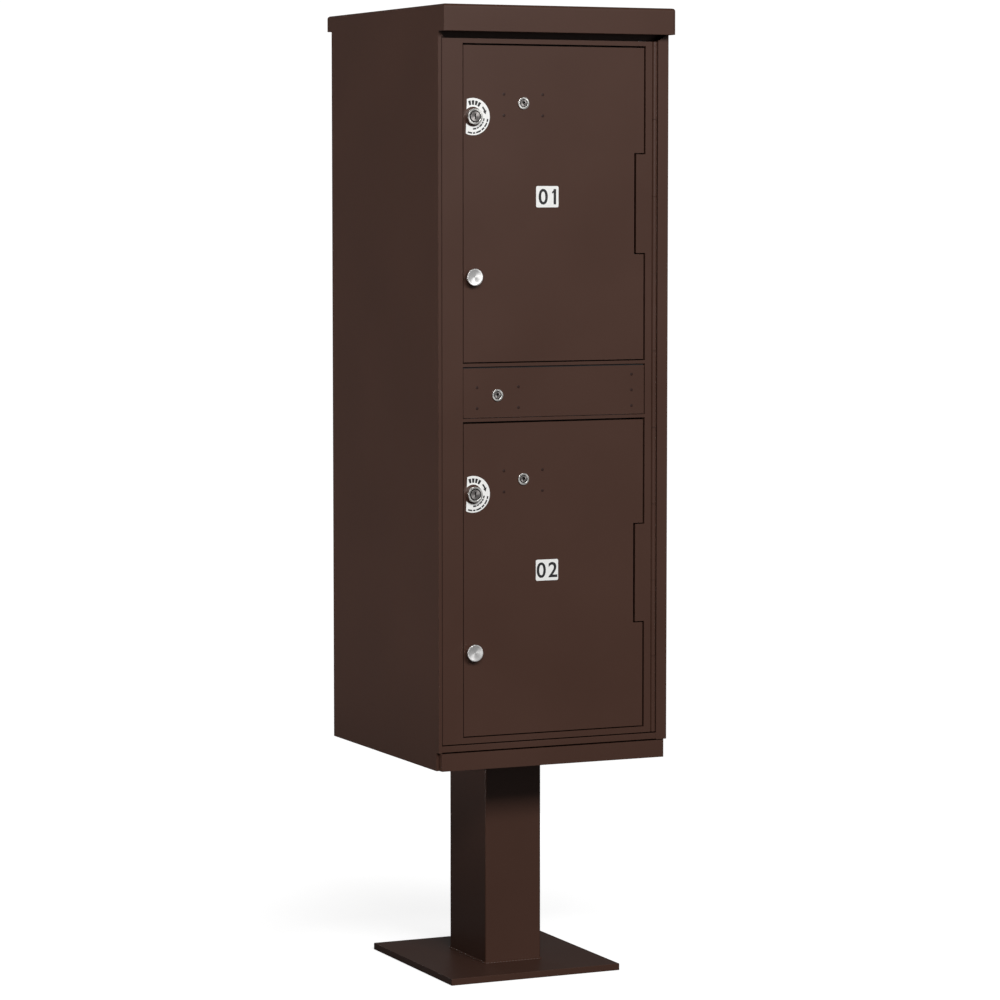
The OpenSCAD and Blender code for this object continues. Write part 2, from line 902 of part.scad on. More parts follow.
// The C-shaped sign round a parcel lock, open on the side that the cam throws to
module decal(i) {
    color(white)
        translate([parcel_lock_x, front_y, door_z1(i) - parcel_lock_drop])
            rotate([90, 0, 0])
                linear_extrude(0.3)
                    difference() {
                        circle(r = 29.2);
                        circle(r = 15.5);
                        polygon([[-40, 35], [-9.9, 35], [-12.5, -35], [-40, -35]]);
                    }
}

// The stiffening plate behind the control lock
module lock_bracket(i) {
    z = door_z1(i) - bracket_drop;
    x = [bracket_x - 45, bracket_x + 45];
    s = [door_t, door_t + 2];
    color(bare) {
        difference() {
            panel(x, s, [z - 26, z + 26]);
            for (c = corners(bracket_x, z, bracket_span))
                rod(c[0], c[1], stud_r + 0.2, [s[0] - 1, s[1] + 1]);
            rod(control_x, door_z1(i) - control_drop, small_barrel_r + 0.2, [s[0] - 1, s[1] + 1]);
        }
        for (edge_z = [z - 26, z + 24])
            panel(x, [s[0], door_depth - 1], [edge_z, edge_z + 2]);
    }
}

module lock_nuts(i) {
    z = door_z1(i);
    behind = door_t + 2;
    color(steel) {
        for (c = corners(bracket_x, z - bracket_drop, bracket_span))
            hex_nut(c[0], c[1], 7, stud_r + run_gap, [behind, behind + 3]);
        hex_nut(control_x, z - control_drop, 18, small_barrel_r + run_gap, [behind, behind + 3]);
        hex_nut(parcel_lock_x, z - parcel_lock_drop, 21, parcel_barrel_r + run_gap,
            [door_t, door_t + 4]);
        hex_nut(knob_x, z - knob_drop, 10, knob_stud_r + run_gap, [door_t, door_t + 4]);
    }
}

// A drum with a cup in its face, in which the plug's head turns
module parcel_lock_body(i) {
    z = door_z1(i) - parcel_lock_drop;
    face = -parcel_bezel_h;
    color(bright)
        difference() {
            union() {
                rod(parcel_lock_x, z, parcel_bezel_r, [face, 0]);
                rod(parcel_lock_x, z, parcel_barrel_r, [-1, parcel_barrel_s]);
            }
            rod(parcel_lock_x, z, parcel_cup[0], [face - 1, face + parcel_cup[1]]);
            rod(parcel_lock_x, z, parcel_plug_r + run_gap, [face, parcel_barrel_s + 1]);
        }
}

module parcel_lock_plug(i) {
    z = door_z1(i) - parcel_lock_drop;
    face = -parcel_bezel_h;
    front = face - 0.6;
    color(bright)
        difference() {
            union() {
                rod(parcel_lock_x, z, parcel_head_r, [front, face + parcel_cup[1] - run_gap]);
                rod(parcel_lock_x, z, parcel_plug_r, [face, parcel_barrel_s + 0.3]);
                rod(parcel_lock_x, z, 4, [parcel_barrel_s, parcel_barrel_s + 5]);
            }
            keyway(parcel_lock_x, z, 9, front);
        }
}

module parcel_lock_cam(i) {
    z = door_z1(i) - parcel_lock_drop;
    cam(parcel_lock_x, z, 8, 27, 14, [parcel_barrel_s + 0.3, parcel_barrel_s + 3.3], 4);
}

module control_lock_body(i) {
    small_lock_body(control_x, door_z1(i) - control_drop);
}

module control_lock_plug(i) {
    small_lock_plug(control_x, door_z1(i) - control_drop, 17.5);
}

module control_lock_cam(i) {
    z = door_z1(i) - control_drop;
    cam(control_x, z, 8, 22, 10, [small_barrel_s + 0.5, small_barrel_s + 2.5], small_plug_r);
}

base_plate();
post();
post_top_plate();
cabinet_bolts();
side_panel_left();
side_panel_right();
back_panel();
hood();
floor_pan();
top_jamb();
bottom_jamb();
strike_angle();
ceiling_panel();
inner_wall_left();
inner_wall_right();
upper_shelf();
lower_ceiling();
shell_rivets();
hinge_leaf_fixed();
hinge_leaf_door();
hinge_pin();
door_frame();
stop_frame(0);  // stop_frame_1
stop_frame(1);  // stop_frame_2
weather_strips();
tab_barrels();
middle_panel();
middle_nuts();
bolt_guide();
master_lock_body();
master_lock_plug();
master_lock_cam();
master_bolt();
door_panel(0);  // door_panel_1
door_pin(0);  // door_pin_1
pull_knob(0);  // pull_knob_1
label(0);  // label_1
decal(0);  // decal_1
lock_bracket(0);  // lock_bracket_1
lock_nuts(0);  // lock_nuts_1
parcel_lock_body(0);  // parcel_lock_body_1
parcel_lock_plug(0);  // parcel_lock_plug_1
parcel_lock_cam(0);  // parcel_lock_cam_1
control_lock_body(0);  // control_lock_body_1
control_lock_plug(0);  // control_lock_plug_1
control_lock_cam(0);  // control_lock_cam_1
door_panel(1);  // door_panel_2
door_pin(1);  // door_pin_2
pull_knob(1);  // pull_knob_2
label(1);  // label_2
decal(1);  // decal_2
lock_bracket(1);  // lock_bracket_2
lock_nuts(1);  // lock_nuts_2
parcel_lock_body(1);  // parcel_lock_body_2
parcel_lock_plug(1);  // parcel_lock_plug_2
parcel_lock_cam(1);  // parcel_lock_cam_2
control_lock_body(1);  // control_lock_body_2
control_lock_plug(1);  // control_lock_plug_2
control_lock_cam(1);  // control_lock_cam_2
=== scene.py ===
"""Looks of a two-compartment parcel mailbox on a pedestal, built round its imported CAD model."""

import math

import bmesh
import bpy
from mathutils import Matrix, Vector


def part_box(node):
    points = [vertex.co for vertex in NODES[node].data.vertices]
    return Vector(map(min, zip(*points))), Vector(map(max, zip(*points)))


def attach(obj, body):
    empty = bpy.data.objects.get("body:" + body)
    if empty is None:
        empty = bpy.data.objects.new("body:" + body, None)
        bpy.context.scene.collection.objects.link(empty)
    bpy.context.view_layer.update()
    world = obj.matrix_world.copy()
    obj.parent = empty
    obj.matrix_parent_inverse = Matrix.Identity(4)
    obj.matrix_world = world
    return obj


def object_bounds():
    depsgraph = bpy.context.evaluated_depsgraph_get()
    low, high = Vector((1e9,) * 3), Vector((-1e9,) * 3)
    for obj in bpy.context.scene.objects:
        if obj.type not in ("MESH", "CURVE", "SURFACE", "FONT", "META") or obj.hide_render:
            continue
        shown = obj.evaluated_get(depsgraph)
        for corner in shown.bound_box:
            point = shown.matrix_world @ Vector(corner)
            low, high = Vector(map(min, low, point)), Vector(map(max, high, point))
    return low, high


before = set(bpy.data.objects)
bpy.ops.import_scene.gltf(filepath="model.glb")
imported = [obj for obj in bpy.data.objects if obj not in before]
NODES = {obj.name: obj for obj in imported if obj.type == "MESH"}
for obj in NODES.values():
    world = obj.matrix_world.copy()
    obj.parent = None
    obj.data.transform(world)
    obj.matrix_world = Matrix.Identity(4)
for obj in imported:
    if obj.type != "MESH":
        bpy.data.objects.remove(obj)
cad_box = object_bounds()

DOORS = (1, 2)
MM = 0.001

# Colours, linear
BRONZE = (0.060, 0.0270, 0.0180)
# A lighter coat colour, painted along the edges as a highlight
BRONZE_EDGE_HIGHLIGHT = (0.085, 0.045, 0.034)
# Darker coat for the stud marks: painted shade
BRONZE_STUD_SHADE = (0.026, 0.0105, 0.0078)
ALUMINIUM = (0.70, 0.71, 0.72)
NICKEL = (0.78, 0.77, 0.74)
ZINC = (0.52, 0.53, 0.54)
RUBBER = (0.012, 0.012, 0.013)
WHITE = (0.86, 0.86, 0.84)
INK = (0.010, 0.010, 0.011)
KNOB_METAL = (0.84, 0.83, 0.82)
PLUG_METAL = (0.32, 0.30, 0.29)
# Painted shade: the dark colour given to the keyways and the cups of the locks
LOCK_RECESS_SHADE = (0.02, 0.018, 0.016)


# --- Shader helpers ---


def principled(name, colour, roughness, metallic=0.0, specular=0.5):
    """A new material, its node tree and its shader node."""
    material = bpy.data.materials.new(name)
    material.use_nodes = True
    tree = material.node_tree
    shader = tree.nodes["Principled BSDF"]
    shader.inputs["Base Color"].default_value = (*colour, 1)
    shader.inputs["Roughness"].default_value = roughness
    shader.inputs["Metallic"].default_value = metallic
    shader.inputs["Specular IOR Level"].default_value = specular
    return material, tree, shader


def place(tree):
    return tree.nodes.new("ShaderNodeTexCoord").outputs["Object"]


def math_node(tree, operation, *values):
    node = tree.nodes.new("ShaderNodeMath")
    node.operation = operation
    feed(tree, node.inputs, values)
    return node.outputs[0]


def vector_node(tree, operation, *values):
    node = tree.nodes.new("ShaderNodeVectorMath")
    node.operation = operation
    feed(tree, node.inputs, values)
    return node.outputs["Value" if operation in ("DOT_PRODUCT", "LENGTH") else "Vector"]


def feed(tree, inputs, values):
    for socket, value in zip(inputs, values):
        if isinstance(value, bpy.types.NodeSocket):
            tree.links.new(value, socket)
        else:
            socket.default_value = value


def noise(tree, vector, scale, detail=2.0, roughness=0.5):
    node = tree.nodes.new("ShaderNodeTexNoise")
    node.inputs["Scale"].default_value = scale
    node.inputs["Detail"].default_value = detail
    node.inputs["Roughness"].default_value = roughness
    tree.links.new(vector, node.inputs["Vector"])
    return node.outputs[0]


def spread(tree, value, low, high, to_low=0.0, to_high=1.0):
    """value from low..high to to_low..to_high, held at the ends."""
    node = tree.nodes.new("ShaderNodeMapRange")
    feed(tree, node.inputs, (value, low, high, to_low, to_high))
    return node.outputs[0]


def mixed(tree, factor, a, b, blend="MIX"):
    node = tree.nodes.new("ShaderNodeMix")
    node.data_type = "RGBA"
    node.blend_type = blend
    sockets = [s for s in node.inputs if s.type == "RGBA"]
    feed(tree, (node.inputs[0], *sockets), (factor, a, b))
    return next(s for s in node.outputs if s.type == "RGBA")


def tint(colour, factor):
    return (*(min(1.0, c * factor) for c in colour), 1)


def bump(tree, shader, height, distance, strength=1.0):
    node = tree.nodes.new("ShaderNodeBump")
    node.inputs["Strength"].default_value = strength
    node.inputs["Distance"].default_value = distance
    tree.links.new(height, node.inputs["Height"])
    tree.links.new(node.outputs[0], shader.inputs["Normal"])


def near_edge(tree, radius):
    """About 0 on flat areas and rising to 1 along outer edges."""
    soft = tree.nodes.new("ShaderNodeBevel")
    soft.samples = 4
    soft.inputs["Radius"].default_value = radius
    true = tree.nodes.new("ShaderNodeNewGeometry").outputs["Normal"]
    same = vector_node(tree, "DOT_PRODUCT", soft.outputs[0], true)
    return spread(tree, same, 0.995, 0.80)


# --- Materials ---


COAT_ROUGHNESS = 0.40
COAT_UNEVEN = 0.04
COAT_SPECULAR = 0.24
# How far in from an edge the painted highlight reaches
EDGE_HIGHLIGHT_R = 1.2 * MM


def powder_coat(name, colour, edge=0.5):
    """Semi-gloss powder coat: orange peel, fine grain, and a painted highlight, a lighter colour, along
    the edges.
    """
    material, tree, shader = principled(name, colour, COAT_ROUGHNESS, specular=COAT_SPECULAR)
    at = place(tree)
    cloud = noise(tree, at, scale=5, detail=3)
    grain = noise(tree, at, scale=1500, detail=2)
    peel = noise(tree, at, scale=430, detail=1)
    shade = mixed(tree, spread(tree, cloud, 0.3, 0.7), tint(colour, 0.95), tint(colour, 1.05))
    speck = mixed(tree, spread(tree, grain, 0.62, 0.78, 0, 0.35), shade, tint(colour, 1.5))
    # Painted highlight: a lighter coat colour along the edges, in patches, scaled by edge
    patchy = spread(tree, cloud, 0.35, 0.7, 0.3, 1)
    edge_highlight = math_node(tree, "MULTIPLY", near_edge(tree, EDGE_HIGHLIGHT_R), patchy)
    edge_highlight = math_node(tree, "MULTIPLY", edge_highlight, edge)
    tree.links.new(mixed(tree, edge_highlight, speck, (*BRONZE_EDGE_HIGHLIGHT, 1)), shader.inputs["Base Color"])
    low, high = COAT_ROUGHNESS - COAT_UNEVEN, COAT_ROUGHNESS + COAT_UNEVEN
    tree.links.new(spread(tree, cloud, 0.3, 0.7, low, high), shader.inputs["Roughness"])
    height = math_node(tree, "ADD", peel, math_node(tree, "MULTIPLY", grain, 0.3))
    bump(tree, shader, height, 0.12 * MM, 0.35)
    return material


LINES_ACROSS = 900.0
LINES_ALONG = 12.0


def brushed(name, colour, along, roughness):
    """Rolled or brushed metal, its lines running along one axis."""
    material, tree, shader = principled(name, colour, roughness, metallic=1.0)
    stretch = [LINES_ACROSS] * 3
    stretch["xyz".index(along)] = LINES_ALONG
    lines = noise(tree, vector_node(tree, "MULTIPLY", place(tree), stretch), scale=1, detail=3)
    cloud = noise(tree, place(tree), scale=14, detail=3)
    shade = mixed(tree, cloud, tint(colour, 0.86), tint(colour, 1.08))
    tree.links.new(mixed(tree, spread(tree, lines, 0.3, 0.7, 0, 0.35), shade, tint(colour, 0.7)),
                   shader.inputs["Base Color"])
    tree.links.new(spread(tree, lines, 0.3, 0.7, roughness - 0.08, roughness + 0.1),
                   shader.inputs["Roughness"])
    bump(tree, shader, lines, 0.02 * MM, 0.4)
    return material


GROOVES = 5200
CUP_DEPTH = 3 * MM
CUP_FADE = 0.5 * MM


def turned(name, colour, node, roughness, shade_below=None, inside=None, metallic=1.0):
    """Metal turned round a node's own axis along y.

    Given a depth, it paints shade, a dark colour, on what lies deeper than that behind the node's
    front, in keyways and recesses. With inside, only a cup in the front gets this painted shade, of
    that share of the node's radius.
    """
    material, tree, shader = principled(name, colour, roughness, metallic=metallic)
    lo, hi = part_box(node)
    centre = (lo + hi) / 2
    from_axis = vector_node(tree, "SUBTRACT", place(tree), (centre.x, 0, centre.z))
    across = vector_node(tree, "MULTIPLY", from_axis, (1, 0, 1))
    radius = vector_node(tree, "LENGTH", across)
    ring = tree.nodes.new("ShaderNodeCombineXYZ")
    tree.links.new(radius, ring.inputs["X"])
    grooves = noise(tree, ring.outputs[0], GROOVES, detail=2)
    tone = mixed(tree, spread(tree, grooves, 0.35, 0.65), tint(colour, 0.84), tint(colour, 1.06))
    # Painted shade: metal deeper behind the front is painted dark where the recess falls into shade
    if shade_below is not None:
        depth = tree.nodes.new("ShaderNodeSeparateXYZ")
        tree.links.new(place(tree), depth.inputs[0])
        recess_shade = spread(tree, depth.outputs["Y"], lo.y + 0.5 * shade_below, lo.y + shade_below)
        if inside is not None:
            edge = inside * (hi.x - lo.x) / 2
            in_cup = spread(tree, radius, edge, edge + 0.1 * MM, 1, 0)
            cup_end = lo.y + CUP_DEPTH
            in_front = spread(tree, depth.outputs["Y"], cup_end, cup_end + CUP_FADE, 1, 0)
            recess_shade = math_node(tree, "MULTIPLY", math_node(tree, "MULTIPLY", recess_shade, in_cup), in_front)
        tone = mixed(tree, recess_shade, tone, (*LOCK_RECESS_SHADE, 1))
    tree.links.new(tone, shader.inputs["Base Color"])
    shader.inputs["Anisotropic"].default_value = 0.65
    round_axis = vector_node(tree, "CROSS_PRODUCT", (0, 1, 0), across)
    tree.links.new(vector_node(tree, "NORMALIZE", round_axis), shader.inputs["Tangent"])
    tree.links.new(spread(tree, grooves, 0.3, 0.7, roughness - 0.05, roughness + 0.1),
                   shader.inputs["Roughness"])
    bump(tree, shader, grooves, 0.02 * MM, 0.5)
    return material


def plated(name, colour, roughness):
    """Zinc or nickel plate with a faint cloudy crystal pattern."""
    material, tree, shader = principled(name, colour, roughness, metallic=1.0)
    crystal = noise(tree, place(tree), scale=260, detail=3)
    tree.links.new(mixed(tree, spread(tree, crystal, 0.3, 0.7), tint(colour, 0.8), tint(colour, 1.1)),
                   shader.inputs["Base Color"])
    tree.links.new(spread(tree, crystal, 0.3, 0.7, roughness - 0.05, roughness + 0.12),
                   shader.inputs["Roughness"])
    bump(tree, shader, crystal, 0.03 * MM, 0.3)
    return material


def film(name, colour, roughness, mottle, peel):
    """Smooth plastic, vinyl, ink or rubber with a slight texture of its own; peel is in mm."""
    material, tree, shader = principled(name, colour, roughness)
    cloud = noise(tree, place(tree), scale=90, detail=4)
    skin = noise(tree, place(tree), scale=1800, detail=2)
    tree.links.new(mixed(tree, cloud, tint(colour, 1 - mottle), tint(colour, 1 + mottle)),
                   shader.inputs["Base Color"])
    tree.links.new(spread(tree, cloud, 0.3, 0.7, roughness, roughness + 0.12),
                   shader.inputs["Roughness"])
    bump(tree, shader, skin, peel * MM, 0.4)
    return material


COAT = powder_coat("bronze_coat", BRONZE)
# Painted shade on the stud marks: a darker coat, with no painted edge highlight
STUD_SHADE_COAT = powder_coat("bronze_stud_shade", BRONZE_STUD_SHADE, edge=0.0)
SHEET = brushed("mill_aluminium", ALUMINIUM, "z", 0.38)
BOLT_BAR = brushed("drawn_bar", ALUMINIUM, "x", 0.32)
FIXINGS = plated("zinc_plate", ZINC, 0.36)
FOAM = film("foam_rubber", RUBBER, roughness=0.85, mottle=0.25, peel=0.20)
LABEL = film("label_plastic", WHITE, roughness=0.22, mottle=0.02, peel=0.02)
VINYL = film("sign_vinyl", WHITE, roughness=0.45, mottle=0.04, peel=0.03)
PRINT = film("printing_ink", INK, roughness=0.40, mottle=0.10, peel=0.02)


# --- CAD nodes: materials and softened edges ---


COPLANAR = math.radians(0.5)
SHARP = math.radians(35)


def dress(name, material, round_mm, segments=2):
    """Gives a CAD node its material and rounds its sharp edges, without touching its mesh."""
    obj = NODES[name]
    obj.data.materials.clear()
    obj.data.materials.append(material)
    obj.data.polygons.foreach_set("use_smooth", [True] * len(obj.data.polygons))
    weld = obj.modifiers.new("weld", "WELD")
    weld.merge_threshold = 0.001 * MM
    flat = obj.modifiers.new("flat", "DECIMATE")
    flat.decimate_type = "DISSOLVE"
    flat.angle_limit = COPLANAR
    soften(obj, round_mm, segments)
    normals = obj.modifiers.new("normals", "WEIGHTED_NORMAL")
    normals.keep_sharp = False
    return obj


def soften(obj, round_mm, segments):
    edge = obj.modifiers.new("edge", "BEVEL")
    edge.limit_method = "ANGLE"
    edge.angle_limit = SHARP
    edge.width = round_mm * MM
    edge.segments = segments
    edge.use_clamp_overlap = True
    edge.harden_normals = False


COATED = {
    "base_plate": 0.8, "post": 0.6, "post_top_plate": 0.6,
    "side_panel_left": 0.9, "side_panel_right": 0.9, "back_panel": 0.4, "hood": 0.8, "floor_pan": 0.8,
    "top_jamb": 0.5, "bottom_jamb": 0.5, "door_frame": 0.6, "stop_frame_1": 0.4, "stop_frame_2": 0.4,
    "middle_panel": 0.6, "door_panel_1": 0.7, "door_panel_2": 0.7,
    "hinge_leaf_fixed": 0.3, "hinge_leaf_door": 0.3,
}
for name, round_mm in COATED.items():
    dress(name, COAT, round_mm)
for name in ("inner_wall_left", "inner_wall_right", "upper_shelf", "lower_ceiling", "ceiling_panel"):
    dress(name, SHEET, 0.4)
dress("shell_rivets", COAT, 0.1)
dress("bolt_guide", SHEET, 0.3)
dress("master_bolt", BOLT_BAR, 0.4)
dress("weather_strips", FOAM, 0.2)
for name in ("cabinet_bolts", "strike_angle", "middle_nuts", "master_lock_cam"):
    dress(name, FIXINGS, 0.3)
for name in ("hinge_pin", "tab_barrels"):
    dress(name, COAT, 0.3)
for i in DOORS:
    dress(f"door_pin_{i}", COAT, 0.3)
    for name in ("lock_nuts", "parcel_lock_cam", "control_lock_cam"):
        dress(f"{name}_{i}", FIXINGS, 0.3)
    dress(f"lock_bracket_{i}", SHEET, 0.3)
    dress(f"label_{i}", LABEL, 0.15)
    dress(f"decal_{i}", VINYL, 0.08)
    knob = turned(f"spun_knob_{i}", KNOB_METAL, f"pull_knob_{i}", 0.34, metallic=0.75)
    dress(f"pull_knob_{i}", knob, 0.5)


def lock_nodes(part):
    """The nodes of one lock part, such as body or plug, for every lock."""
    return ["master_lock_" + part] + [f"{k}_lock_{part}_{i}" for k in ("parcel", "control") for i in DOORS]


# Painted shade in the cup in each lock body's front, and in each plug's keyway
for name in lock_nodes("body"):
    dress(name, turned("face_" + name, NICKEL, name, 0.24, shade_below=0.9 * MM, inside=0.77), 0.5, 3)
for name in lock_nodes("plug"):
    dress(name, turned("face_" + name, PLUG_METAL, name, 0.36, shade_below=0.8 * MM), 0.35, 3)


# --- Small pieces on the doors ---


def piece(name, mesh, material, body):
    """A new visible piece that rides on a CAD body."""
    obj = bpy.data.objects.new(name, mesh)
    bpy.context.scene.collection.objects.link(obj)
    mesh.materials.append(material)
    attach(obj, body)
    return obj


def finished(build, name):
    mesh = bpy.data.meshes.new(name)
    bmesh.ops.recalc_face_normals(build, faces=build.faces)
    build.to_mesh(mesh)
    build.free()
    return mesh


def slab(build, back, front):
    """A thin closed solid between two outlines with the same number of points."""
    a, b = ([build.verts.new(point) for point in outline] for outline in (back, front))
    build.faces.new(a)
    build.faces.new(b)
    for k in range(len(a)):
        n = (k + 1) % len(a)
        build.faces.new((a[k], a[n], b[n], b[k]))


def on_circle(centre, r, degrees):
    a = math.radians(degrees)
    return centre[0] + r * math.cos(a), centre[1] + r * math.sin(a)


def sector(centre, inner, outer, start, end, steps=6):
    """Outline of a ring's sector; angles in degrees, counted from the right."""
    angles = [start + (end - start) * k / steps for k in range(steps + 1)]
    return ([on_circle(centre, outer, a) for a in angles]
            + [on_circle(centre, inner, a) for a in reversed(angles)])


INK_T = 0.06 * MM

# The print on a sign, in mm from the lock's axis and degrees counted from the right
WORD_RING = (18.4, 25.4)
WORD_ANGLES = (104, 89.5, 75, 60.5)
WORD_HALF_WIDTH = 5.0
ARROW_SHAFT = (21.2, 23.8, 22, 43)
ARROW_HEAD = ((19.4, 24), (25.6, 24), (22.2, 9))
ROWS = ((18.1, (13, 9, 18, 11, 17)), (24.5, (10, 17, 12, 20, 9, 16)))
ROW_START = -8
ROW_HEIGHT = 2.4
ROW_GAP = 3.5


def sign_marks(i):
    """An arrow and rows of plain bars, where the sign round the parcel lock is printed."""
    lo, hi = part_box(f"parcel_lock_body_{i}")
    centre = ((lo.x + hi.x) / 2, (lo.z + hi.z) / 2)
    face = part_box(f"decal_{i}")[0].y
    build = bmesh.new()
    bars = [(*WORD_RING, a - WORD_HALF_WIDTH, a + WORD_HALF_WIDTH) for a in WORD_ANGLES]
    bars.append(ARROW_SHAFT)
    for inner, widths in ROWS:
        angle = ROW_START
        for width in widths:
            bars.append((inner, inner + ROW_HEIGHT, angle - width, angle))
            angle -= width + ROW_GAP
    outlines = [sector(centre, inner * MM, outer * MM, start, end) for inner, outer, start, end in bars]
    outlines.append([on_circle(centre, r * MM, a) for r, a in ARROW_HEAD])
    for outline in outlines:
        slab(build, *([(x, y, z) for x, z in outline] for y in (face, face - INK_T)))
    piece(f"sign_marks_{i}", finished(build, f"sign_marks_{i}"), PRINT, f"parcel_door_{i}")


# The numeral one's stroke: the stem's width, and the stroke's corners from the stem's left and top, in mm
STEM_W = 4.0
FLAG = ((1.2, -0.05), (1.2, -4.4), (-3.1, -7.3), (-3.1, -4.6))
FLAG_T = 0.98 * INK_T
AT_EDGE = 0.1 * MM


def add_flag(mesh):
    """The slanted stroke at the top of the numeral one, which stands last in the text."""
    right = max(v.co.x for v in mesh.vertices)
    top = max(v.co.y for v in mesh.vertices if v.co.x > right - AT_EDGE)
    stem = right - STEM_W * MM
    build = bmesh.new()
    build.from_mesh(mesh)
    slab(build, *([(stem + x * MM, top + y * MM, z) for x, y in FLAG] for z in (-FLAG_T, FLAG_T)))
    bmesh.ops.recalc_face_normals(build, faces=build.faces)
    build.to_mesh(mesh)
    build.free()


NUMBER_SIZE = 34 * MM
NUMBER_BOLD = 0.55 * MM
NUMBER_SPACING = 1.2


def label_number(i):
    """The compartment's number, printed on its label."""
    lo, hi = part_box(f"label_{i}")
    text = bpy.data.curves.new("number", "FONT")
    text.body = f"0{i}"
    text.align_x = "CENTER"
    text.align_y = "CENTER"
    text.size = NUMBER_SIZE
    text.offset = NUMBER_BOLD
    text.space_character = NUMBER_SPACING
    text.extrude = INK_T
    source = bpy.data.objects.new("number", text)
    bpy.context.scene.collection.objects.link(source)
    bpy.context.view_layer.update()
    mesh = bpy.data.meshes.new_from_object(source.evaluated_get(bpy.context.evaluated_depsgraph_get()))
    bpy.data.objects.remove(source)
    mesh.name = f"label_number_{i}"
    if i == 1:
        add_flag(mesh)
    xs, ys = ([v.co[k] for v in mesh.vertices] for k in (0, 1))
    on_origin = Matrix.Translation((-(min(xs) + max(xs)) / 2, -(min(ys) + max(ys)) / 2, 0))
    centre = (lo + hi) / 2
    upright = Matrix.Rotation(math.radians(90), 4, "X")
    mesh.transform(Matrix.Translation((centre.x, lo.y, centre.z)) @ upright @ on_origin)
    mesh.materials.clear()
    piece(mesh.name, mesh, PRINT, f"parcel_door_{i}")


def dome(build, x, y, z, radius, height, rings=3, around=20):
    """A low dome on a face that looks along -y, closed at the back."""
    loops = []
    for k in range(rings):
        a = math.pi / 2 * k / rings
        r, out = radius * math.cos(a), height * math.sin(a)
        loops.append([build.verts.new((x + r * math.cos(t), y - out, z + r * math.sin(t)))
                      for t in (2 * math.pi * j / around for j in range(around))])
    tip = build.verts.new((x, y - height, z))
    build.faces.new(loops[0])
    for a, b in zip(loops, loops[1:]):
        for j in range(around):
            build.faces.new((a[j], a[(j + 1) % around], b[(j + 1) % around], b[j]))
    for j in range(around):
        build.faces.new((loops[-1][j], loops[-1][(j + 1) % around], tip))


STUD_R = 2.4 * MM
STUD_H = 0.18 * MM


def stud_marks(name, spots, y, body):
    """Faint marks where studs are welded behind the sheet: low domes in a darker coat, which is painted
    shade where the marks show as shading.
    """
    build = bmesh.new()
    for x, z in spots:
        dome(build, x, y, z, STUD_R, STUD_H)
    mesh = finished(build, name)
    mesh.polygons.foreach_set("use_smooth", [True] * len(mesh.polygons))
    piece(name, mesh, STUD_SHADE_COAT, body)


def four_round(x, z, span_x, span_z):
    """The corners of a rectangle round (x, z)."""
    return [(x + i * span_x / 2, z + j * span_z / 2) for i in (-1, 1) for j in (-1, 1)]


BRACKET_STUDS = (67.5 * MM, 33.5 * MM)
GUIDE_STUDS = (72 * MM, 33 * MM)

# The row of three at the right end of the middle panel, in mm
END_ROW_IN = 32
END_ROW_UP = 7.3
END_ROW_PITCH = 25.3

for i in DOORS:
    sign_marks(i)
    label_number(i)
    lo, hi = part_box(f"lock_bracket_{i}")
    stud_marks(f"stud_marks_{i}", four_round((lo.x + hi.x) / 2, (lo.z + hi.z) / 2, *BRACKET_STUDS),
               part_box(f"door_panel_{i}")[0].y, f"parcel_door_{i}")

lo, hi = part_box("bolt_guide")
panel_lo, panel_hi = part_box("middle_panel")
middle = (lo.z + hi.z) / 2
stud_marks("stud_marks_middle",
           four_round((lo.x + hi.x) / 2, middle, *GUIDE_STUDS)
           + [(panel_hi.x - END_ROW_IN * MM, middle + (END_ROW_UP + k * END_ROW_PITCH) * MM)
              for k in (-1, 0, 1)],
           panel_lo.y, "master_door")


# --- Weld bead round the foot of the post ---

POST_CORNER_R = 3 * MM
CORNER_STEPS = 8
WELD_STEP = 1.1 * MM
WELD_IN = 0.5 * MM

# The bead's radius and its ripple, in mm, and the ripple's phase from one step to the next, in radians
WELD_R = 2.4
WELD_RIPPLE = 0.3
WELD_PHASE = 1.25


def rounded_path(half_x, half_y, r, step):
    """Points and outward directions round a rounded rectangle."""
    path = []
    corners = ((1, -1, -90), (1, 1, 0), (-1, 1, 90), (-1, -1, 180))
    arcs = []
    for sx, sy, first in corners:
        centre = Vector((sx * (half_x - r), sy * (half_y - r), 0))
        for k in range(CORNER_STEPS + 1):
            a = math.radians(first + 90 * k / CORNER_STEPS)
            out = Vector((math.cos(a), math.sin(a), 0))
            arcs.append((centre + r * out, out))
    for (p, out), (q, out_q) in zip(arcs, arcs[1:] + arcs[:1]):
        count = max(1, round((q - p).length / step))
        path += [(p.lerp(q, k / count), out.lerp(out_q, k / count).normalized()) for k in range(count)]
    return path


def weld_bead():
    """A small rippled fillet between the post and the base plate."""
    lo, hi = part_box("post")
    half = (hi - lo) / 2
    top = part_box("base_plate")[1].z
    build = bmesh.new()
    rows = []
    around = 7
    for k, (p, out) in enumerate(rounded_path(half.x, half.y, POST_CORNER_R, WELD_STEP)):
        size = (WELD_R + WELD_RIPPLE * math.sin(k * WELD_PHASE)) * MM
        foot = Vector(((lo.x + hi.x) / 2 + p.x, (lo.y + hi.y) / 2 + p.y, top))
        row = [build.verts.new(foot - WELD_IN * out)]
        for j in range(around):
            a = math.pi / 2 * j / (around - 1)
            up = Vector((0, 0, size * math.sin(a)))
            row.append(build.verts.new(foot + out * size * math.cos(a) + up))
        rows.append(row)
    for a, b in zip(rows, rows[1:] + rows[:1]):
        for j in range(around + 1):
            n = (j + 1) % (around + 1)
            build.faces.new((a[j], a[n], b[n], b[j]))
    mesh = finished(build, "post_weld")
    mesh.polygons.foreach_set("use_smooth", [True] * len(mesh.polygons))
    piece("post_weld", mesh, COAT, "cabinet")


weld_bead()


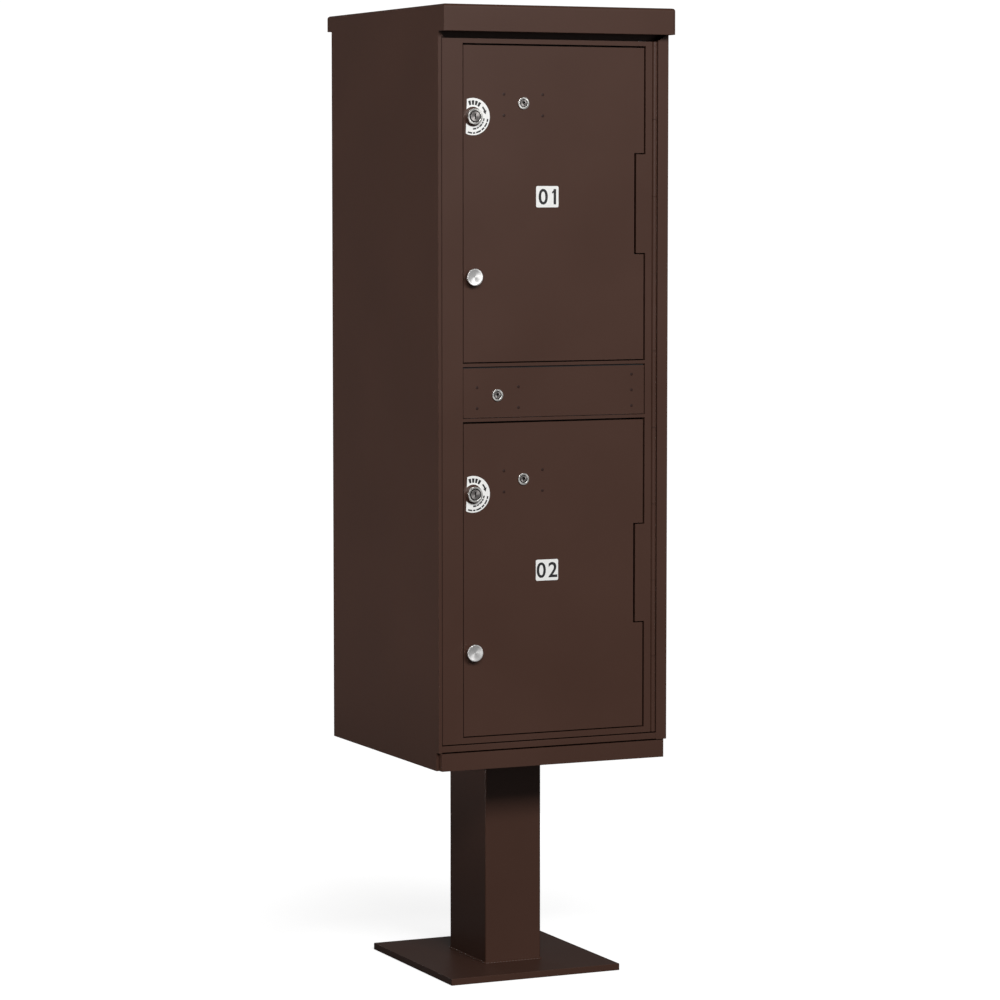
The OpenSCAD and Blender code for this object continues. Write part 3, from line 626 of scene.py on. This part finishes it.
# --- Stage, lights and camera ---


FLOOR_R = 1.5
FLOOR_DROP = 0.2 * MM
FLOOR_SEEN = 0.50
FLOOR_THROWN = 0.20
FLOOR_GLOW = (0.80, 1.05)
WORLD_LIGHT = 0.10
WORLD_SEEN = 1.05

# The photo's viewpoint, in metres and degrees; its pitch is downwards and its heading clockwise from +y
CAMERA_AT = (-2.573, -5.661, 1.273)
CAMERA_PITCH = 4.62
CAMERA_HEADING = 24.52
CAMERA_LENS = 135.7
CAMERA_SENSOR = 36


def floor():
    """A pale floor: almost white to the camera, with a faint shadow, and fading out to pure white."""
    build = bmesh.new()
    bmesh.ops.create_circle(build, cap_ends=True, radius=FLOOR_R, segments=96)
    obj = bpy.data.objects.new("floor", finished(build, "floor"))
    bpy.context.scene.collection.objects.link(obj)
    obj.location.z = cad_box[0].z - FLOOR_DROP
    material = bpy.data.materials.new("studio_floor")
    material.use_nodes = True
    tree = material.node_tree
    tree.nodes.clear()
    seen, thrown, glow = (tree.nodes.new("ShaderNode" + kind)
                          for kind in ("BsdfDiffuse", "BsdfDiffuse", "Emission"))
    seen.inputs["Color"].default_value = (FLOOR_SEEN, FLOOR_SEEN, FLOOR_SEEN, 1)
    thrown.inputs["Color"].default_value = (FLOOR_THROWN, FLOOR_THROWN, FLOOR_THROWN, 1)
    away = vector_node(tree, "LENGTH", place(tree))
    tree.links.new(spread(tree, away, 0.3 * FLOOR_R, 0.8 * FLOOR_R, *FLOOR_GLOW), glow.inputs["Strength"])
    bright = tree.nodes.new("ShaderNodeAddShader")
    tree.links.new(seen.outputs[0], bright.inputs[0])
    tree.links.new(glow.outputs[0], bright.inputs[1])
    which = tree.nodes.new("ShaderNodeMixShader")
    end = tree.nodes.new("ShaderNodeOutputMaterial")
    tree.links.new(tree.nodes.new("ShaderNodeLightPath").outputs["Is Camera Ray"], which.inputs[0])
    tree.links.new(thrown.outputs[0], which.inputs[1])
    tree.links.new(bright.outputs[0], which.inputs[2])
    tree.links.new(which.outputs[0], end.inputs[0])
    obj.data.materials.append(material)


def backdrop():
    """White to the camera, and a soft grey light from all round."""
    world = bpy.data.worlds.new("studio")
    bpy.context.scene.world = world
    world.use_nodes = True
    tree = world.node_tree
    light = tree.nodes["Background"]
    which = tree.nodes.new("ShaderNodeMix")
    which.data_type = "FLOAT"
    which.inputs[2].default_value = WORLD_LIGHT
    which.inputs[3].default_value = WORLD_SEEN
    tree.links.new(tree.nodes.new("ShaderNodeLightPath").outputs["Is Camera Ray"], which.inputs[0])
    tree.links.new(which.outputs[0], light.inputs["Strength"])
    light.inputs["Color"].default_value = (1, 1, 1, 1)


def softbox(name, at, aim, width, height, power, beam=180):
    """An area light. beam is the angle in degrees that it spreads its light over."""
    data = bpy.data.lights.new(name, "AREA")
    data.shape = "RECTANGLE"
    data.size = width
    data.size_y = height
    data.energy = power
    data.spread = math.radians(beam)
    obj = bpy.data.objects.new(name, data)
    bpy.context.scene.collection.objects.link(obj)
    obj.visible_camera = False
    obj.location = at
    obj.rotation_euler = (Vector(aim) - Vector(at)).to_track_quat("-Z", "Y").to_euler()


def camera():
    """The camera at the photo's viewpoint."""
    data = bpy.data.cameras.new("camera")
    data.lens = CAMERA_LENS
    data.sensor_width = CAMERA_SENSOR
    obj = bpy.data.objects.new("camera", data)
    bpy.context.scene.collection.objects.link(obj)
    obj.location = CAMERA_AT
    obj.rotation_euler = (math.radians(90 - CAMERA_PITCH), 0, math.radians(-CAMERA_HEADING))
    bpy.context.scene.camera = obj


floor()
backdrop()
softbox("key", (-0.7, -4.95, 3.15), (0, 0, 0.8), width=4.4, height=1.1, power=278)
softbox("left", (-2.8, 0.35, 1.05), (0, 0, 1.05), width=1.6, height=1.5, power=3.6, beam=14)
softbox("right_card", (2.3, -4.4, 1.4), (0, 0, 1), width=3.2, height=3.2, power=9)
softbox("right", (2.8, 0.35, 1.05), (0, 0, 1.05), width=1.6, height=1.5, power=2.4, beam=14)
softbox("back", (0, 3.5, 1), (0, 0.2, 1), width=0.36, height=0.5, power=4, beam=30)
camera()
bpy.context.scene.view_settings.view_transform = "Standard"
